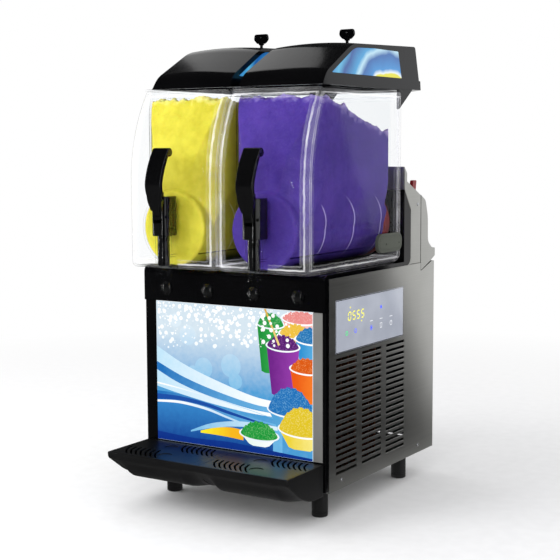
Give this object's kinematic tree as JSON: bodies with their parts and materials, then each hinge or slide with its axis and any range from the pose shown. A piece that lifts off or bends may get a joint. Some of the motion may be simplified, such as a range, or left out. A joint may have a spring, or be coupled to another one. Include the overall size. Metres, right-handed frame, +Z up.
{
  "type": "slushie machine",
  "caption": "Counter-top frozen drink dispenser: clear bowls with augers and pull-lever taps over a lit front panel and a drip tray, louvred steel cabinet.",
  "frame": {"origin": "on the floor, under the middle of the whole machine's box", "axes": "+X to the machine's right seen from the front, +Y to its back, +Z up"},
  "size_m": [0.4066, 0.571, 0.895],
  "materials": {
    "brushed_stainless": "brushed satin",
    "grey_panel": "satin grey",
    "black_gloss": "high gloss",
    "black_matt": "fine texture",
    "feet_black": "matt",
    "clear_plastic": "polished clear",
    "graphic_panel": "backlit gloss",
    "lamp_tray": "satin",
    "control_glass": "gloss with lit symbols",
    "inner_steel": "satin",
    "yellow_slush": "wet granular ice",
    "purple_slush": "wet granular ice",
    "latch_olive": "satin",
    "adjuster_red": "gloss",
    "gasket_red": "matt",
    "auger_plastic": "translucent white",
    "copper": "bare metal",
    "compressor_black": "black paint",
    "rim_metal": "polished"
  },
  "bodies": {
    "chassis": {"base_pan": "grey_panel", "foot_front_left": "feet_black", "foot_front_right": "feet_black", "foot_rear_left": "feet_black", "foot_rear_right": "feet_black", "side_panel_left": "brushed_stainless", "side_panel_right": "brushed_stainless", "rear_panel": "brushed_stainless", "front_frame": "black_gloss", "light_panel": "graphic_panel", "light_box": "lamp_tray", "control_panel": "control_glass", "bowl_deck": "black_gloss", "motor_column": "brushed_stainless", "column_rear_cover": "brushed_stainless", "power_inlet": "black_matt", "compressor": "compressor_black", "condenser": "copper", "fan_motor": "grey_panel", "gearmotor_left": "grey_panel", "evaporator_left": "inner_steel", "bowl_gasket_left": "gasket_red", "gearmotor_right": "grey_panel", "evaporator_right": "inner_steel", "bowl_gasket_right": "gasket_red"},
    "fan": {"fan_blade": "black_matt"},
    "power_rocker": {"power_switch": "black_matt"},
    "drip_tray": {"drip_tray": "black_matt"},
    "grille_left": {"drip_grille_left": "black_matt"},
    "adjuster_left": {"thickness_adjuster_left": "adjuster_red"},
    "auger_left": {"auger_left": "auger_plastic", "drive_shaft_left": "inner_steel"},
    "bowl_left": {"bowl_jacket_left": "clear_plastic", "bowl_vessel_left": "clear_plastic", "slush_left": "yellow_slush", "tap_housing_left": "black_gloss", "lever_pin_left": "rim_metal", "tap_spring_left": "inner_steel"},
    "latch_left": {"bowl_latch_left": "latch_olive"},
    "lever_left": {"tap_lever_left": "black_gloss"},
    "piston_left": {"tap_piston_left": "black_gloss"},
    "lid_left": {"lid_left": "black_gloss", "lid_light_left": "graphic_panel"},
    "key_left": {"lid_key_left": "black_gloss"},
    "grille_right": {"drip_grille_right": "black_matt"},
    "adjuster_right": {"thickness_adjuster_right": "adjuster_red"},
    "auger_right": {"auger_right": "auger_plastic", "drive_shaft_right": "inner_steel"},
    "bowl_right": {"bowl_jacket_right": "clear_plastic", "bowl_vessel_right": "clear_plastic", "slush_right": "purple_slush", "tap_housing_right": "black_gloss", "lever_pin_right": "rim_metal", "tap_spring_right": "inner_steel"},
    "latch_right": {"bowl_latch_right": "latch_olive"},
    "lever_right": {"tap_lever_right": "black_gloss"},
    "piston_right": {"tap_piston_right": "black_gloss"},
    "lid_right": {"lid_right": "black_gloss", "lid_light_right": "graphic_panel"},
    "key_right": {"lid_key_right": "black_gloss"}
  },
  "joints": [
    {"name": "fan_spin", "type": "hinge", "parent": "chassis", "child": "fan", "pos_m": [0.108, 0.0015, 0.19], "axis": [1, 0, 0], "continuous": true},
    {"name": "power_rocker_tilt", "type": "hinge", "parent": "chassis", "child": "power_rocker", "pos_m": [-0.11, 0.2785, 0.1], "axis": [1, 0, 0], "range_deg": [0, 16]},
    {"name": "drip_tray_pull", "type": "slide", "parent": "chassis", "child": "drip_tray", "axis": [0, -1, 0], "range_m": [0, 0.15]},
    {"name": "grille_left_lift", "type": "slide", "parent": "drip_tray", "child": "grille_left", "axis": [0, 0, 1], "range_m": [0, 0.06]},
    {"name": "adjuster_left_tilt", "type": "hinge", "parent": "chassis", "child": "adjuster_left", "pos_m": [-0.17, 0.2355, 0.544], "axis": [1, 0, 0], "range_deg": [-10, 10]},
    {"name": "auger_left_spin", "type": "hinge", "parent": "chassis", "child": "auger_left", "pos_m": [-0.0985, -0.0485, 0.5225], "axis": [0, 1, 0], "continuous": true},
    {"name": "bowl_left_pull", "type": "slide", "parent": "chassis", "child": "bowl_left", "axis": [0, -1, 0], "range_m": [0, 0.36]},
    {"name": "latch_left_slide", "type": "slide", "parent": "bowl_left", "child": "latch_left", "axis": [0, -1, 0], "range_m": [0, 0.012]},
    {"name": "lever_left_pull", "type": "hinge", "parent": "bowl_left", "child": "lever_left", "pos_m": [-0.0985, -0.2455, 0.545], "axis": [1, 0, 0], "range_deg": [0, 40], "stiffness_Nm_per_rad": 1},
    {"name": "piston_left_lift", "type": "slide", "parent": "bowl_left", "child": "piston_left", "axis": [0, 0, 1], "range_m": [0, 0.0137], "deforming": ["tap_spring_left"]},
    {"name": "lid_left_lift", "type": "slide", "parent": "bowl_left", "child": "lid_left", "axis": [0, 0, 1], "range_m": [0, 0.15]},
    {"name": "key_left_turn", "type": "hinge", "parent": "lid_left", "child": "key_left", "pos_m": [-0.0985, 0.0965, 0.87], "axis": [0, 0, 1], "range_deg": [0, 90]},
    {"name": "grille_right_lift", "type": "slide", "parent": "drip_tray", "child": "grille_right", "axis": [0, 0, 1], "range_m": [0, 0.06]},
    {"name": "adjuster_right_tilt", "type": "hinge", "parent": "chassis", "child": "adjuster_right", "pos_m": [0.17, 0.2355, 0.544], "axis": [1, 0, 0], "range_deg": [-10, 10]},
    {"name": "auger_right_spin", "type": "hinge", "parent": "chassis", "child": "auger_right", "pos_m": [0.0985, -0.0485, 0.5225], "axis": [0, 1, 0], "continuous": true},
    {"name": "bowl_right_pull", "type": "slide", "parent": "chassis", "child": "bowl_right", "axis": [0, -1, 0], "range_m": [0, 0.36]},
    {"name": "latch_right_slide", "type": "slide", "parent": "bowl_right", "child": "latch_right", "axis": [0, -1, 0], "range_m": [0, 0.012]},
    {"name": "lever_right_pull", "type": "hinge", "parent": "bowl_right", "child": "lever_right", "pos_m": [0.0985, -0.2455, 0.545], "axis": [1, 0, 0], "range_deg": [0, 40], "stiffness_Nm_per_rad": 1},
    {"name": "piston_right_lift", "type": "slide", "parent": "bowl_right", "child": "piston_right", "axis": [0, 0, 1], "range_m": [0, 0.0137], "deforming": ["tap_spring_right"]},
    {"name": "lid_right_lift", "type": "slide", "parent": "bowl_right", "child": "lid_right", "axis": [0, 0, 1], "range_m": [0, 0.15]},
    {"name": "key_right_turn", "type": "hinge", "parent": "lid_right", "child": "key_right", "pos_m": [0.0985, 0.0965, 0.87], "axis": [0, 0, 1], "range_deg": [0, 90]}
  ],
  "couplings": [
    {"joint": "piston_left_lift", "follows": "lever_left_pull", "m_per_rad": 0.0195},
    {"joint": "piston_right_lift", "follows": "lever_right_pull", "m_per_rad": 0.0195}
  ]
}
